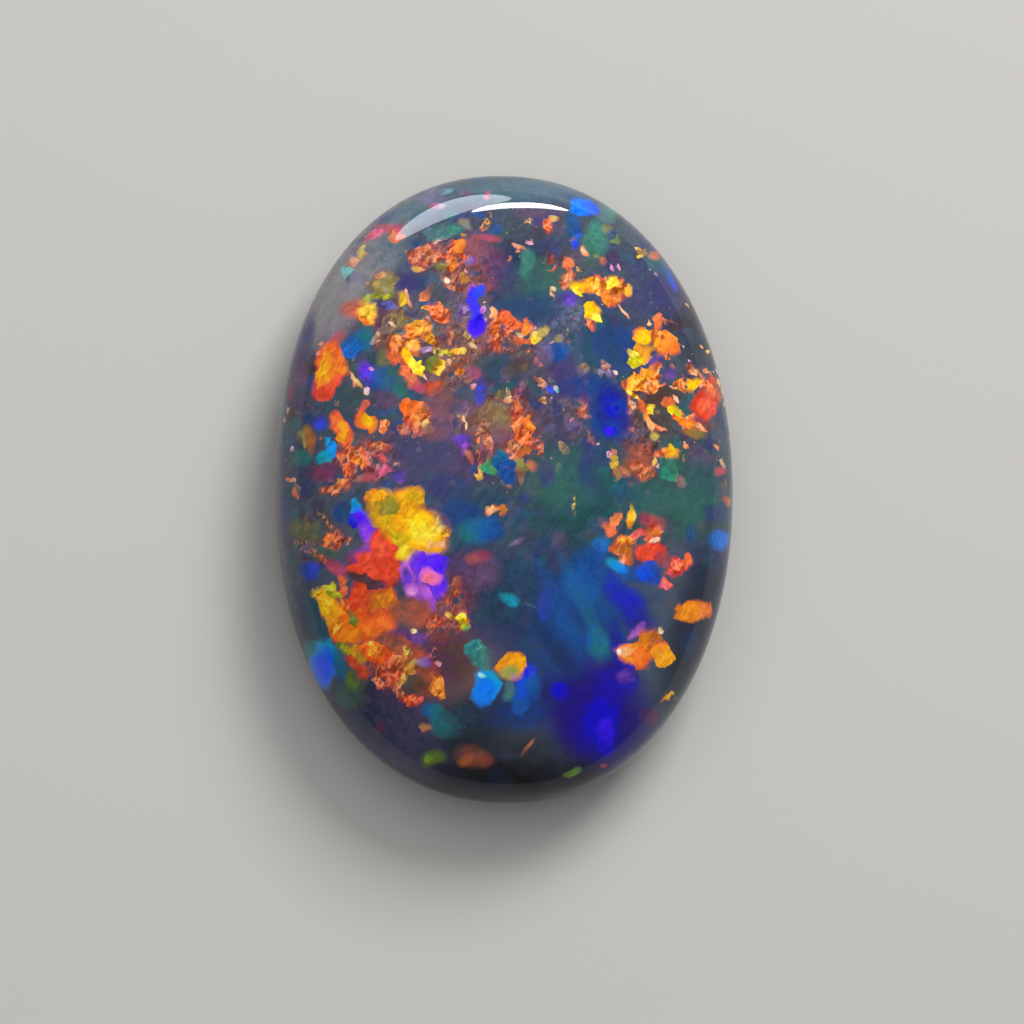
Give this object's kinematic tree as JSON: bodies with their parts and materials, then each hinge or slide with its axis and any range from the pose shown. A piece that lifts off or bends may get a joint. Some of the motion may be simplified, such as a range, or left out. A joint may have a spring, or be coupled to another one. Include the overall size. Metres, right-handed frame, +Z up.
{
  "type": "black opal cabochon",
  "caption": "Polished oval black opal cabochon with a low dome, a rounded back and a small flat spot to rest on; play-of-colour in red, gold, green and blue.",
  "frame": {"origin": "the middle of the small flat spot under the stone, where it rests", "axes": "+Z up through the top of the dome; +Y along the oval's length; +X across its width"},
  "size_m": [0.008, 0.011, 0.0031],
  "materials": {
    "opal": "polished"
  },
  "bodies": {
    "root": {"black_opal": "opal"}
  },
  "joints": []
}
